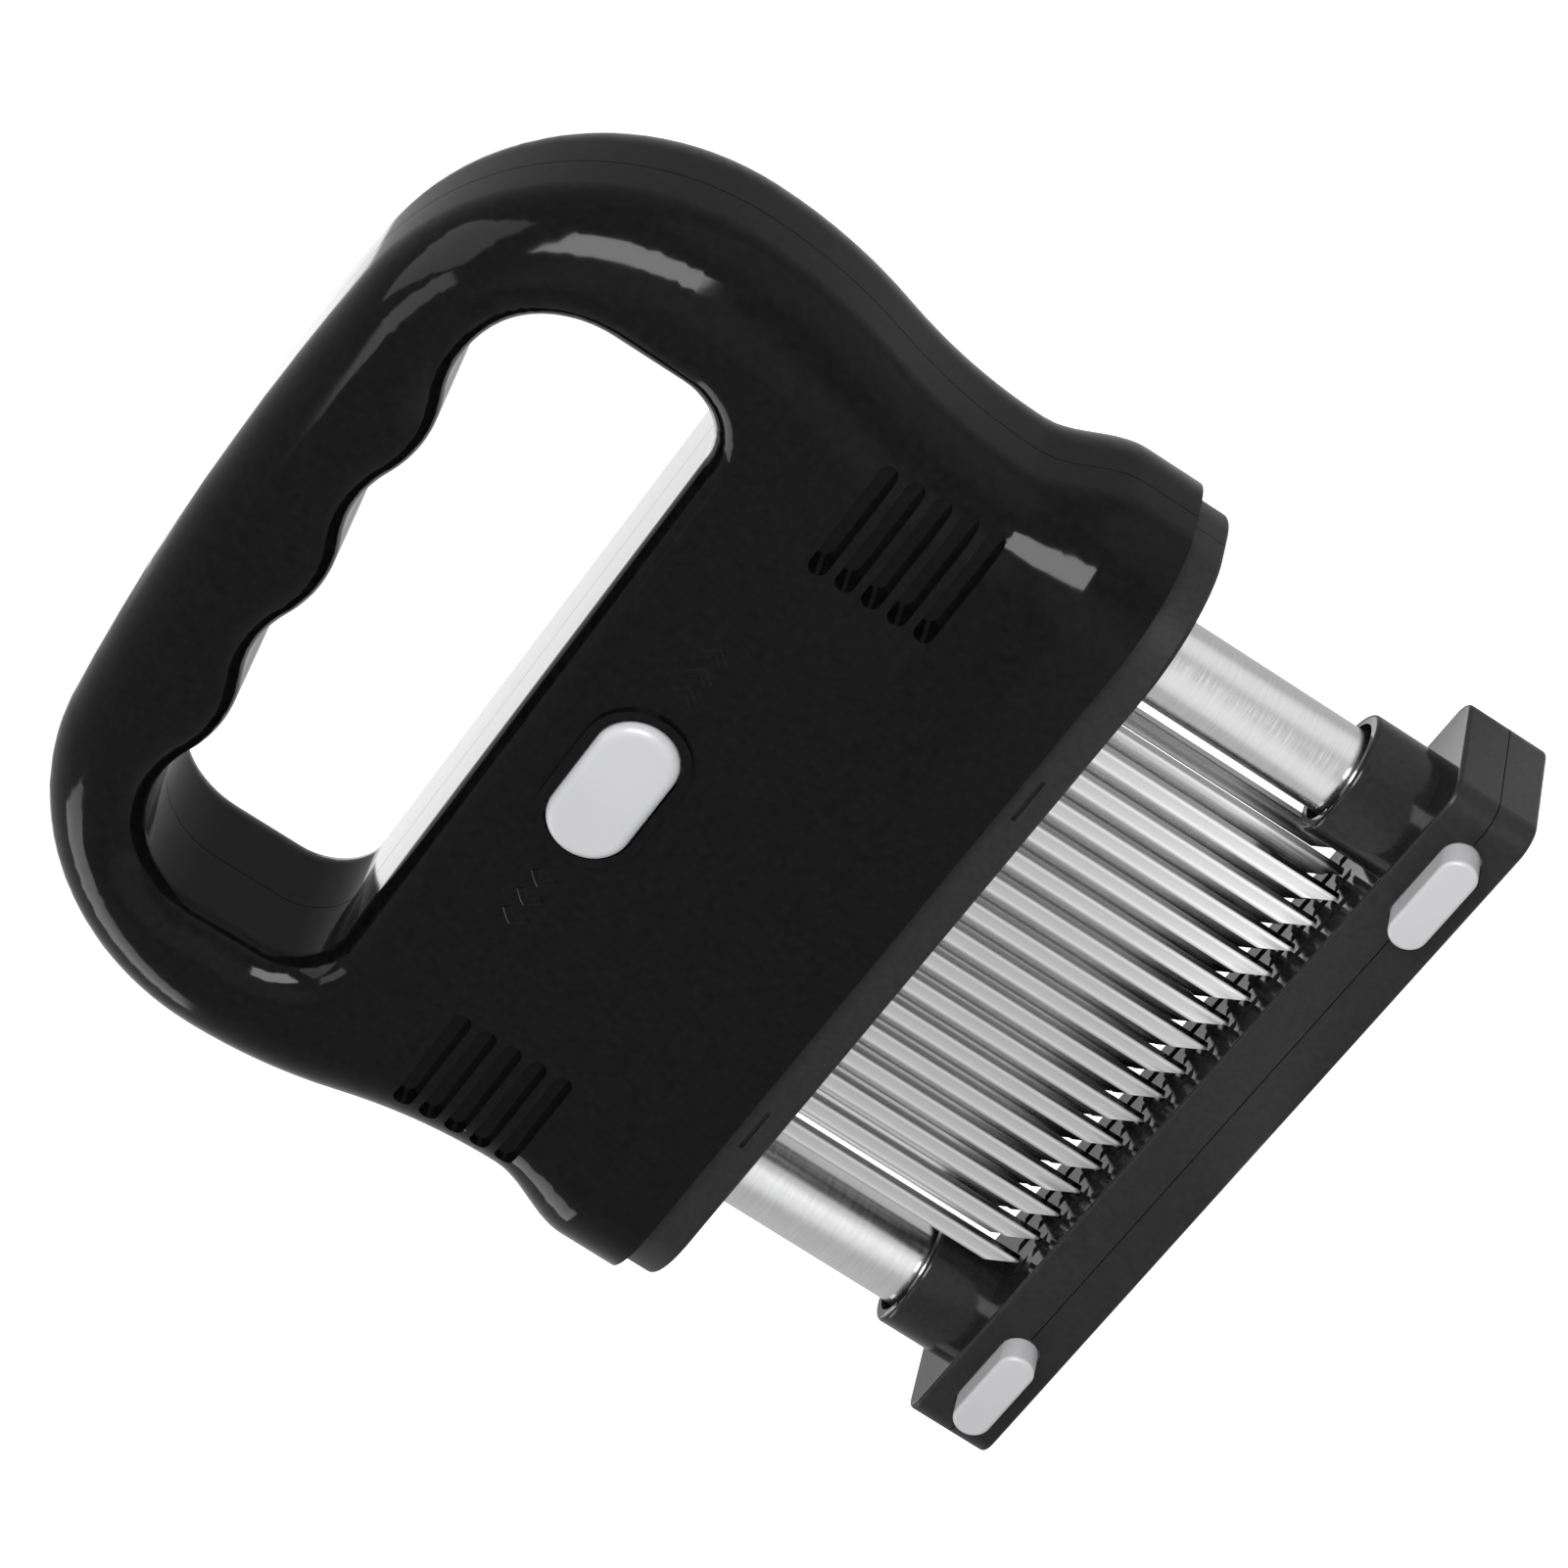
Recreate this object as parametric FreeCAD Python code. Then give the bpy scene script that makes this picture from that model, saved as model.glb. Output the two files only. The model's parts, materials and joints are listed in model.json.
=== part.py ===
import FreeCAD, Part
import math
import os

from FreeCAD import Vector

# Spring-loaded blade tenderizer with a D-shaped handle.
# +Z is up, the front faces -Y, and the origin is the middle of the foot's underside.

# Foot, the pressing plate under the blades
FOOT_HALF_X = 53.0
FOOT_HALF_Y = 9.75
FOOT_TOP = 10.0
FOOT_SEAM = 4.9
FOOT_SEAM_GAP = 0.12
FOOT_CORNER = 3.0
FOOT_EDGE = 0.5

# Guide tubes, their collars and their bushes
TUBE_X = 41.8
TUBE_RADIUS = 5.0
TUBE_BORE = 4.2
TUBE_BOTTOM = 6.5
TUBE_TOP = 65.0
COLLAR_RADIUS = 7.2
COLLAR_TOP = 18.3
COLLAR_MOUTH = 5.9
COLLAR_MOUTH_DEPTH = 3.0
COLLAR_SPIGOT = 1.5
COLLAR_NOTCH = 2.4
COLLAR_NOTCH_DEPTH = 1.2
COLLAR_EDGE = 0.5
SPIGOT_RADIUS = COLLAR_RADIUS - 1.0
BUSH_RADIUS = 6.6
TUBE_CLEARANCE = 0.4
RUNNING_FIT = 0.05
STOP_RING_RADIUS = 6.2
STOP_RING_HEIGHT = 1.6
FOOT_TRAVEL = 24.0

# Blades, sixteen in each of three rows
BLADE_COLUMNS = 16
BLADE_PITCH_X = 4.1
BLADE_PITCH_Y = 5.0
BLADE_WIDTH = 2.3
BLADE_THICKNESS = 1.0
BLADE_TIP_Z = 10.7
BLADE_TIP_HEIGHT = 3.2
BLADE_POINT = 0.3
BLADE_SLOT_GAP = 0.35
HOLDER_BOTTOM = 49.0
HOLDER_HEIGHT = 6.0
HOLDER_MARGIN = 2.4
CLAMP_HEIGHT = 2.5
HOLDER_CORNER = 1.0
HOLDER_FIT = 0.05
HOLDER_LEDGE = 1.2
BLADE_FIT = 0.02

# Cartridge, the two-part housing that carries the blades
SKIRT_BOTTOM = 43.0
SKIRT_HALF_X = 57.0
SKIRT_HALF_Y = 14.5
SKIRT_WALL = 2.0
SKIRT_EDGE = 0.6
RIM_GAP = 0.1
SEAM_GAP = 0.12
CARTRIDGE_TOP = 61.0
INSERT_CORNER = 10.0
SLIDE_FIT = 0.3
SNAP_HALF = 3.0
SNAP_X = 27.0
SNAP_Z = 45.6
SNAP_HEIGHT = 0.5
SNAP_DEPTH = 0.5
TONGUE_HALF_X = 6.0
TONGUE_THICKNESS = 1.5
TONGUE_TOP = 77.0
TONGUE_CLEARANCE = 0.4
TONGUE_FRAME = 2.0
TONGUE_WINDOW = 4.0

# Handle shells
SHELL_BOTTOM = 47.4
SHELL_WALL = 1.6
RIM_HALF_X = 58.1
RIM_HALF_Y = 15.5
RIM_TOP = 56.0
NECK_HALF_Y = 13.2
NECK_Z = 65.0
NECK_DEPTH = 5.0
PLAN_CORNER = 12.0
BODY_ROUND = 8.8
SHOULDER_X = 60.3
WAIST_INSET = 5.8
NECK_HALF_X = SHOULDER_X - WAIST_INSET
HOLE_FLOOR = 93.4
FLARE_STEPS = 5
GRIP_THICKNESS = 13.9
GRIP_CORNER = 31.0
CROWN_RADIUS = 360.0
FINGER_ROOM = 24.4
GROOVE_DEPTH = 2.1
HOLE_HALF_X = 44.4
HOLE_CORNER = 7.0
RIDGE_Z = HOLE_FLOOR + FINGER_ROOM
GROOVE_Z = RIDGE_Z + GROOVE_DEPTH
HANDLE_TOP = GROOVE_Z + GRIP_THICKNESS
GROOVE_PITCH = 21.5
LEG_SCREW_Z = HOLE_FLOOR + FINGER_ROOM / 2
HOLE_EDGE = 4.4
WELL_ROOF = 2.4
WELL_TOP = HOLE_FLOOR - WELL_ROOF
WELL_GAP = 0.5
INSERT_HALF_X = NECK_HALF_X - SHELL_WALL - SLIDE_FIT
INSERT_HALF_Y = NECK_HALF_Y - SHELL_WALL - SLIDE_FIT

# Recessed grip slots on both faces
SLOT_COUNT = 5
SLOT_PITCH = 3.25
SLOT_HEIGHT = 2.2
SLOT_INNER_X = 35.4
SLOT_OUTER_X = 50.6
SLOT_TOP_Z = 78.0
SLOT_DEPTH = 2.2

# Release buttons in the middle of both faces
BUTTON_Z = 80.7
BUTTON_LENGTH = 18.8
BUTTON_HEIGHT = 9.6
BUTTON_PROUD = 1.5
BUTTON_GAP = 0.25
BUTTON_TRAVEL = 2.0
BUTTON_FLANGE = 1.5
BUTTON_FLANGE_Y = 11.0
BUTTON_FLANGE_THICKNESS = 1.5
LIP_WIDTH = 1.1
LIP_HEIGHT = 0.5
BUTTON_EDGE = 1.2
TONGUE_FACE_Y = BUTTON_FLANGE_Y - BUTTON_FLANGE_THICKNESS - BUTTON_TRAVEL - TONGUE_CLEARANCE
TONGUE_Y = TONGUE_FACE_Y - TONGUE_THICKNESS / 2

# Latch buttons in the front of the foot
LATCH_LENGTH = 13.0
LATCH_HEIGHT = 4.4
LATCH_PROUD = 3.5
LATCH_GAP = 0.2
LATCH_TRAVEL = 2.0
LATCH_INNER_Y = 7.6
LATCH_FLANGE = 1.1
LATCH_FLANGE_THICKNESS = 1.0
LATCH_EDGE = 0.5

# Springs and screws
SPRING_RADIUS = 3.1
SPRING_WIRE = 0.5
SPRING_TURNS = 8
SPRING_SIDES = 6
SPRING_END_GAP = 0.1
SEAT_TOP = 27.0
SCREW_RADIUS = 1.4
SCREW_HEAD_RADIUS = 2.7
SCREW_HEAD_HEIGHT = 1.8
SCREW_HEAD_Y = 7.0
SCREW_TIP_Y = -8.0
SCREW_FIT = 0.1
SCREW_CROSS = 3.6
SCREW_CROSS_WIDTH = 0.8
SCREW_CROSS_DEPTH = 0.8
LOW_SCREW_X = 25.4
LOW_SCREW_Z = 72.4
FOOT_SCREW_RADIUS = 1.0
FOOT_SCREW_HEAD = 1.9
FOOT_SCREW_TIP = 8.0
FOOT_SCREW_BOTTOM = 0.5
FOOT_SCREW_SHOULDER = 1.8
FOOT_SCREW_SLOT = 0.6


def box(x0, x1, y0, y1, z0, z1):
    return Part.makeBox(x1 - x0, y1 - y0, z1 - z0, Vector(x0, y0, z0))


def rod(x, y, z0, z1, radius):
    return Part.makeCylinder(radius, z1 - z0, Vector(x, y, z0))


def rod_y(x, z, y0, y1, radius):
    return Part.makeCylinder(radius, y1 - y0, Vector(x, y0, z), Vector(0, 1, 0))


def plan_wire(half_x, half_y, corner, z):
    """Rounded rectangle in a level plane."""
    a = half_x - corner
    b = half_y - corner
    r = corner
    k = r * math.sqrt(0.5)
    parts = []
    spots = [(1, -1), (1, 1), (-1, 1), (-1, -1)]
    for i, (sx, sy) in enumerate(spots):
        nx, ny = spots[(i + 1) % 4]
        centre = Vector(sx * a, sy * b, z)
        along_x = centre + Vector(sx * r, 0, 0)
        along_y = centre + Vector(0, sy * r, 0)
        first, last = (along_y, along_x) if sx * sy < 0 else (along_x, along_y)
        parts.append(Part.Arc(first, centre + Vector(sx * k, sy * k, 0), last).toShape())
        next_centre = Vector(nx * a, ny * b, z)
        if nx * ny < 0:
            follow = next_centre + Vector(0, ny * r, 0)
        else:
            follow = next_centre + Vector(nx * r, 0, 0)
        parts.append(Part.LineSegment(last, follow).toShape())
    return Part.Wire(parts)


def slab(half_x, half_y, corner, z0, z1):
    """Upright prism on a rounded rectangle."""
    return Part.Face(plan_wire(half_x, half_y, corner, z0)).extrude(Vector(0, 0, z1 - z0))


def stadium(x, z, length, height, y0, y1):
    """Oblong with round ends, long side on X, running from y0 to y1."""
    r = height / 2
    a = length / 2 - r
    lower = Part.LineSegment(Vector(x - a, y0, z - r), Vector(x + a, y0, z - r)).toShape()
    right = Part.Arc(Vector(x + a, y0, z - r), Vector(x + a + r, y0, z), Vector(x + a, y0, z + r)).toShape()
    upper = Part.LineSegment(Vector(x + a, y0, z + r), Vector(x - a, y0, z + r)).toShape()
    left = Part.Arc(Vector(x - a, y0, z + r), Vector(x - a - r, y0, z), Vector(x - a, y0, z - r)).toShape()
    return Part.Face(Part.Wire([lower, right, upper, left])).extrude(Vector(0, y1 - y0, 0))


def arc(start, middle, end):
    return Part.Arc(start, middle, end).toShape()


def arc_middle(start, corner, end):
    """Middle of the arc whose end tangents meet at a corner."""
    weight = (end - start).Length / (2 * (corner - start).Length)
    return (start + corner * (2 * weight) + end) * (1 / (2 + 2 * weight))


def biarc(start, along, end, onward):
    """Two arcs that leave the start in one direction and reach the end in another."""
    chord = end - start
    span = chord.dot(chord)
    bend = 2 * (1 - along.dot(onward))
    lean = chord.dot(along + onward)
    reach = span / (lean + math.sqrt(lean ** 2 + bend * span))
    first = start + along * reach
    last = end - onward * reach
    joint = (first + last) * 0.5
    leaving = arc(start, arc_middle(start, first, joint), joint)
    arriving = arc(joint, arc_middle(joint, last, end), end)
    return [leaving, arriving]


def edges_where(shape, test):
    return [edge for edge in shape.Edges if test(edge.CenterOfMass)]


def on_wall(edge, solid):
    """Whether an edge's middle lies on the skin of a solid."""
    middle = edge.valueAt((edge.FirstParameter + edge.LastParameter) / 2)
    return Part.Vertex(middle).distToShape(solid.Shells[0])[0] < 0.01


def at_back(shape):
    """The same piece turned half a turn about Z, for the back of the tool."""
    turned = shape.copy()
    turned.rotate(Vector(0, 0, 0), Vector(0, 0, 1), 180)
    return turned


def handle_side():
    """Right-hand outline in four arcs: an S from the waist to the shoulder, the corner and the crown."""
    up = Vector(0, 0, 1)
    across = SHOULDER_X - GRIP_CORNER
    rise = math.sqrt((CROWN_RADIUS - GRIP_CORNER) ** 2 - across ** 2)
    corner = Vector(across, 0, HANDLE_TOP - CROWN_RADIUS + rise)
    shoulder = corner + Vector(GRIP_CORNER, 0, 0)
    lean = math.atan2(across, rise)
    meeting = corner + Vector(math.sin(lean), 0, math.cos(lean)) * GRIP_CORNER
    half = (math.pi / 2 + lean) / 2
    corner_middle = corner + Vector(math.sin(half), 0, math.cos(half)) * GRIP_CORNER
    crown = Vector(0, 0, HANDLE_TOP - CROWN_RADIUS)
    crown_middle = crown + Vector(math.sin(lean / 2), 0, math.cos(lean / 2)) * CROWN_RADIUS
    edges = biarc(Vector(NECK_HALF_X, 0, NECK_Z), up, shoulder, up)
    edges.append(arc(shoulder, corner_middle, meeting))
    edges.append(arc(meeting, crown_middle, Vector(0, 0, HANDLE_TOP)))
    return edges


def upper_body():
    """Everything above the neck: the side outline, with its edges well rounded."""
    right = handle_side()
    left = [edge.mirror(Vector(0, 0, 0), Vector(1, 0, 0)) for edge in reversed(right)]
    start = NECK_Z - NECK_DEPTH
    low_right = Part.LineSegment(Vector(NECK_HALF_X, 0, start), Vector(NECK_HALF_X, 0, NECK_Z)).toShape()
    low_left = Part.LineSegment(Vector(-NECK_HALF_X, 0, NECK_Z), Vector(-NECK_HALF_X, 0, start)).toShape()
    base = Part.LineSegment(Vector(-NECK_HALF_X, 0, start), Vector(NECK_HALF_X, 0, start)).toShape()
    outline = Part.Face(Part.Wire([low_right] + right + left + [low_left, base]))
    outline.translate(Vector(0, -NECK_HALF_Y, 0))
    body = outline.extrude(Vector(0, 2 * NECK_HALF_Y, 0))
    limit = NECK_HALF_Y - 1
    rims = edges_where(body, lambda c: abs(c.y) > limit and abs(c.x) > 5 and c.z > start + 0.1)
    return body.makeFillet(BODY_ROUND, rims)


def rim_body():
    """Flared lower end: level sections that swell from the neck to the rim."""
    flare_start = RIM_TOP - 2
    sections = [(SHELL_BOTTOM, 1.0)]
    for step in range(FLARE_STEPS + 1):
        share = step / FLARE_STEPS
        sections.append((flare_start + share * (NECK_Z - flare_start), (1 + math.cos(math.pi * share)) / 2))
    wires = []
    for z, swell in sections:
        half_x = NECK_HALF_X + swell * (RIM_HALF_X - NECK_HALF_X)
        half_y = NECK_HALF_Y + swell * (RIM_HALF_Y - NECK_HALF_Y)
        corner = BODY_ROUND + swell * (PLAN_CORNER - BODY_ROUND)
        wires.append(plan_wire(half_x, half_y, corner, z))
    straight = Part.makeLoft(wires[:2], True, True)
    flare = Part.makeLoft(wires[1:], True, False)
    return straight.fuse(flare)


def finger_hole():
    """Finger hole, whose top runs in alternate arcs that meet smoothly: three ridges, four grooves."""
    middle_z = (RIDGE_Z + GROOVE_Z) / 2
    half_wave = GROOVE_PITCH / 2
    rise = (GROOVE_Z - RIDGE_Z) / 2
    slope = 2 * math.atan(2 * rise / half_wave)
    end_x = 3.5 * half_wave
    shoulder = (HOLE_HALF_X - end_x) / (1 - math.sin(slope))
    wall_top = middle_z - shoulder * math.cos(slope)
    centre = Vector(HOLE_HALF_X - shoulder, 0, wall_top)
    bisect = (math.pi / 2 - slope) / 2
    mid = centre + Vector(shoulder * math.cos(bisect), 0, shoulder * math.sin(bisect))
    x = HOLE_HALF_X
    low = HOLE_FLOOR
    r = HOLE_CORNER
    k = r * (1 - math.sqrt(0.5))
    edges = [arc(Vector(x, 0, wall_top), mid, Vector(end_x, 0, middle_z))]
    for wave in range(3, -4, -1):
        height = GROOVE_Z if wave % 2 else RIDGE_Z
        start = Vector((wave + 0.5) * half_wave, 0, middle_z)
        end = Vector((wave - 0.5) * half_wave, 0, middle_z)
        edges.append(arc(start, Vector(wave * half_wave, 0, height), end))
    edges += [
        arc(Vector(-end_x, 0, middle_z), Vector(-mid.x, 0, mid.z), Vector(-x, 0, wall_top)),
        Part.LineSegment(Vector(-x, 0, wall_top), Vector(-x, 0, low + r)).toShape(),
        arc(Vector(-x, 0, low + r), Vector(-x + k, 0, low + k), Vector(-x + r, 0, low)),
        Part.LineSegment(Vector(-x + r, 0, low), Vector(x - r, 0, low)).toShape(),
        arc(Vector(x - r, 0, low), Vector(x - k, 0, low + k), Vector(x, 0, low + r)),
        Part.LineSegment(Vector(x, 0, low + r), Vector(x, 0, wall_top)).toShape(),
    ]
    reach = 2 * NECK_HALF_Y
    face = Part.Face(Part.Wire(edges))
    face.translate(Vector(0, -reach, 0))
    return face.extrude(Vector(0, 2 * reach, 0))


def screw_places():
    leg = (SHOULDER_X + HOLE_HALF_X) / 2
    top_z = HANDLE_TOP - GRIP_THICKNESS / 2
    return [(-leg, LEG_SCREW_Z), (leg, LEG_SCREW_Z), (0, top_z), (-LOW_SCREW_X, LOW_SCREW_Z),
            (LOW_SCREW_X, LOW_SCREW_Z)]


def grip_slots(side):
    """Five recessed slots on one half of the front face."""
    slots = []
    middle = side * (SLOT_INNER_X + SLOT_OUTER_X) / 2
    for row in range(SLOT_COUNT):
        z = SLOT_TOP_Z - row * SLOT_PITCH
        y0 = -NECK_HALF_Y - 2
        length = SLOT_OUTER_X - SLOT_INNER_X
        slots.append(stadium(middle, z, length, SLOT_HEIGHT, y0, -NECK_HALF_Y + SLOT_DEPTH))
    return slots


def handle_body():
    """The whole handle as one form, before it is parted into two shells."""
    body = upper_body().fuse(rim_body()).removeSplitter()
    hole = finger_hole()
    body = body.cut(hole)
    limit = NECK_HALF_Y - 1
    mouth = [edge for edge in edges_where(body, lambda c: abs(c.y) > limit) if on_wall(edge, hole)]
    body = body.makeFillet(HOLE_EDGE, mouth)
    lip_length = BUTTON_LENGTH + 2 * (BUTTON_GAP + LIP_WIDTH)
    lip_height = BUTTON_HEIGHT + 2 * (BUTTON_GAP + LIP_WIDTH)
    lip = stadium(0, BUTTON_Z, lip_length, lip_height, -NECK_HALF_Y - LIP_HEIGHT, -BUTTON_FLANGE_Y)
    body = body.fuse(lip).fuse(at_back(lip))
    cuts = grip_slots(-1) + grip_slots(1)
    cuts += [at_back(slot) for slot in grip_slots(-1) + grip_slots(1)]
    cuts.append(slab(INSERT_HALF_X + SLIDE_FIT, INSERT_HALF_Y + SLIDE_FIT, INSERT_CORNER + SLIDE_FIT,
                     SHELL_BOTTOM - 1, CARTRIDGE_TOP + SLIDE_FIT))
    for side in (-1, 1):
        cuts.append(rod(side * TUBE_X, 0, CARTRIDGE_TOP, WELL_TOP, STOP_RING_RADIUS + WELL_GAP))
    tongue_y = TONGUE_Y + TONGUE_THICKNESS / 2 + SLIDE_FIT
    cuts.append(box(-TONGUE_HALF_X - SLIDE_FIT, TONGUE_HALF_X + SLIDE_FIT, -tongue_y, tongue_y,
                    CARTRIDGE_TOP, TONGUE_TOP + 1))
    opening_length = BUTTON_LENGTH + 2 * BUTTON_GAP
    opening_height = BUTTON_HEIGHT + 2 * BUTTON_GAP
    cuts.append(stadium(0, BUTTON_Z, opening_length, opening_height, -2 * RIM_HALF_Y, 2 * RIM_HALF_Y))
    chamber = 2 * (BUTTON_FLANGE + BUTTON_GAP)
    reach = BUTTON_FLANGE_Y + 0.1
    cuts.append(stadium(0, BUTTON_Z, BUTTON_LENGTH + chamber, BUTTON_HEIGHT + chamber, -reach, reach))
    for x, z in screw_places():
        cuts.append(rod_y(x, z, SCREW_TIP_Y - SCREW_FIT, SCREW_HEAD_Y, SCREW_RADIUS + SCREW_FIT))
        cuts.append(rod_y(x, z, SCREW_HEAD_Y, 2 * RIM_HALF_Y, SCREW_HEAD_RADIUS + 2 * SCREW_FIT))
    return body.cut(cuts)


def handle_shells():
    body = handle_body()
    wide = 2 * SHOULDER_X
    gap = SEAM_GAP / 2
    front = body.common(box(-wide, wide, -wide, -gap, 0, 2 * HANDLE_TOP))
    back = body.common(box(-wide, wide, gap, wide, 0, 2 * HANDLE_TOP))
    return front, back


def release_button():
    """Front release button: an oblong cap on a wider flange that keeps it in the shell."""
    face = -NECK_HALF_Y - BUTTON_PROUD
    cap = stadium(0, BUTTON_Z, BUTTON_LENGTH, BUTTON_HEIGHT, face, -BUTTON_FLANGE_Y + 0.5)
    rim = edges_where(cap, lambda c: c.y < face + 0.01)
    cap = cap.makeFillet(BUTTON_EDGE, rim)
    flange_length = BUTTON_LENGTH + 2 * BUTTON_FLANGE
    flange_height = BUTTON_HEIGHT + 2 * BUTTON_FLANGE
    inner = -BUTTON_FLANGE_Y + BUTTON_FLANGE_THICKNESS
    flange = stadium(0, BUTTON_Z, flange_length, flange_height, -BUTTON_FLANGE_Y, inner)
    return cap.fuse(flange).removeSplitter()


def screws_along_y():
    """Five screws with cross recesses, put in from the back."""
    screws = []
    floor = SCREW_HEAD_Y + SCREW_HEAD_HEIGHT - SCREW_CROSS_DEPTH
    for x, z in screw_places():
        shank = rod_y(x, z, SCREW_TIP_Y, SCREW_HEAD_Y, SCREW_RADIUS)
        head = rod_y(x, z, SCREW_HEAD_Y, SCREW_HEAD_Y + SCREW_HEAD_HEIGHT, SCREW_HEAD_RADIUS)
        half = SCREW_CROSS / 2
        thin = SCREW_CROSS_WIDTH / 2
        slot = box(x - thin, x + thin, floor, SCREW_HEAD_Y + 3, z - half, z + half)
        cross = box(x - half, x + half, floor, SCREW_HEAD_Y + 3, z - thin, z + thin)
        screws.append(shank.fuse(head).cut([slot, cross]).removeSplitter())
    return Part.makeCompound(screws)


def blade_spots(row):
    y = row * BLADE_PITCH_Y
    first = -BLADE_PITCH_X * (BLADE_COLUMNS - 1) / 2
    return [(first + column * BLADE_PITCH_X, y) for column in range(BLADE_COLUMNS)]


def blade(x, y):
    """Flat strip whose end slants to a point on its right edge."""
    top = HOLDER_BOTTOM + HOLDER_HEIGHT
    left = x - BLADE_WIDTH / 2
    right = x + BLADE_WIDTH / 2
    front = y - BLADE_THICKNESS / 2
    outline = Part.makePolygon([
        Vector(left, front, top),
        Vector(right, front, top),
        Vector(right, front, BLADE_TIP_Z),
        Vector(right - BLADE_POINT, front, BLADE_TIP_Z),
        Vector(left, front, BLADE_TIP_Z + BLADE_TIP_HEIGHT),
        Vector(left, front, top),
    ])
    return Part.Face(outline).extrude(Vector(0, BLADE_THICKNESS, 0))


def blade_row(row):
    return Part.makeCompound([blade(x, y) for x, y in blade_spots(row)])


def blade_holes(gap, z0, z1):
    holes = []
    half_x = BLADE_WIDTH / 2 + gap
    half_y = BLADE_THICKNESS / 2 + gap
    for row in (-1, 0, 1):
        for x, y in blade_spots(row):
            holes.append(box(x - half_x, x + half_x, y - half_y, y + half_y, z0, z1))
    return holes


def holder_half_x():
    return BLADE_PITCH_X * (BLADE_COLUMNS - 1) / 2 + BLADE_WIDTH / 2 + HOLDER_MARGIN


def holder_half_y():
    return BLADE_PITCH_Y + BLADE_THICKNESS / 2 + HOLDER_MARGIN


def blade_holder():
    a = holder_half_x()
    b = holder_half_y()
    block = slab(a, b, HOLDER_CORNER, HOLDER_BOTTOM, HOLDER_BOTTOM + HOLDER_HEIGHT)
    return block.cut(blade_holes(BLADE_FIT, HOLDER_BOTTOM - 1, HOLDER_BOTTOM + HOLDER_HEIGHT + 1))


def clamp_plate():
    z = HOLDER_BOTTOM + HOLDER_HEIGHT
    return slab(holder_half_x(), holder_half_y(), HOLDER_CORNER, z, z + CLAMP_HEIGHT)


def cartridge_halves():
    """Skirt and insert with the blade bay, the bush seats and the latch tongues."""
    band = slab(SKIRT_HALF_X, SKIRT_HALF_Y, PLAN_CORNER, SKIRT_BOTTOM, SHELL_BOTTOM - RIM_GAP)
    foot_edge = edges_where(band, lambda c: c.z < SKIRT_BOTTOM + 0.01)
    band = band.makeFillet(SKIRT_EDGE, foot_edge)
    insert = slab(INSERT_HALF_X, INSERT_HALF_Y, INSERT_CORNER, SHELL_BOTTOM - 2 * RIM_GAP, CARTRIDGE_TOP)
    body = band.fuse(insert)
    for sign in (-1, 1):
        y = sign * TONGUE_Y
        half = TONGUE_THICKNESS / 2
        tongue = box(-TONGUE_HALF_X, TONGUE_HALF_X, y - half, y + half, CARTRIDGE_TOP - 1, TONGUE_TOP)
        frame = TONGUE_HALF_X - TONGUE_FRAME
        sill = TONGUE_TOP - TONGUE_FRAME - TONGUE_WINDOW
        window = box(-frame, frame, y - half - 1, y + half + 1, sill, sill + TONGUE_WINDOW)
        body = body.fuse(tongue.cut(window))
    a = holder_half_x() + HOLDER_FIT
    b = holder_half_y() + HOLDER_FIT
    corner = HOLDER_CORNER + HOLDER_FIT
    bay_top = HOLDER_BOTTOM + HOLDER_HEIGHT + CLAMP_HEIGHT + HOLDER_FIT
    cuts = [slab(a, b, corner, HOLDER_BOTTOM - HOLDER_FIT, bay_top)]
    cuts.append(slab(a - HOLDER_LEDGE, b - HOLDER_LEDGE, corner, SKIRT_BOTTOM - 1, HOLDER_BOTTOM))
    for side in (-1, 1):
        x = side * TUBE_X
        cuts.append(rod(x, 0, SKIRT_BOTTOM - 1, CARTRIDGE_TOP + 1, TUBE_RADIUS + TUBE_CLEARANCE))
        cuts.append(rod(x, 0, SKIRT_BOTTOM + SKIRT_WALL, CARTRIDGE_TOP + 1, BUSH_RADIUS + RUNNING_FIT))
        for face in (-1, 1):
            y = face * SKIRT_HALF_Y
            snap_x = side * SNAP_X
            snap = box(-SNAP_HALF, SNAP_HALF, -SNAP_DEPTH, SNAP_DEPTH, 0, SNAP_HEIGHT)
            snap.translate(Vector(snap_x, y, SNAP_Z - SNAP_HEIGHT / 2))
            cuts.append(snap)
    body = body.cut(cuts)
    wide = 2 * SHOULDER_X
    gap = SEAM_GAP / 2
    front = body.common(box(-wide, wide, -wide, -gap, 0, HANDLE_TOP))
    back = body.common(box(-wide, wide, gap, wide, 0, HANDLE_TOP))
    return front, back


def bush(side):
    x = side * TUBE_X
    bottom = SKIRT_BOTTOM + SKIRT_WALL
    body = rod(x, 0, bottom, CARTRIDGE_TOP, BUSH_RADIUS)
    return body.cut(rod(x, 0, bottom - 1, CARTRIDGE_TOP + 1, TUBE_RADIUS + RUNNING_FIT))


def guide_tube(side):
    x = side * TUBE_X
    tube = rod(x, 0, TUBE_BOTTOM, TUBE_TOP, TUBE_RADIUS)
    return tube.cut(rod(x, 0, TUBE_BOTTOM - 1, TUBE_TOP + 1, TUBE_BORE))


def spring_seat(side):
    x = side * TUBE_X
    return rod(x, 0, TUBE_BOTTOM, SEAT_TOP, TUBE_BORE - RUNNING_FIT)


def stop_ring(side):
    """Ring that keeps the tube from leaving its bush."""
    x = side * TUBE_X
    z0 = CARTRIDGE_TOP + SLIDE_FIT
    ring = rod(x, 0, z0, z0 + STOP_RING_HEIGHT, STOP_RING_RADIUS)
    return ring.cut(rod(x, 0, z0 - 1, z0 + 5, TUBE_RADIUS + 0.02))


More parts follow.
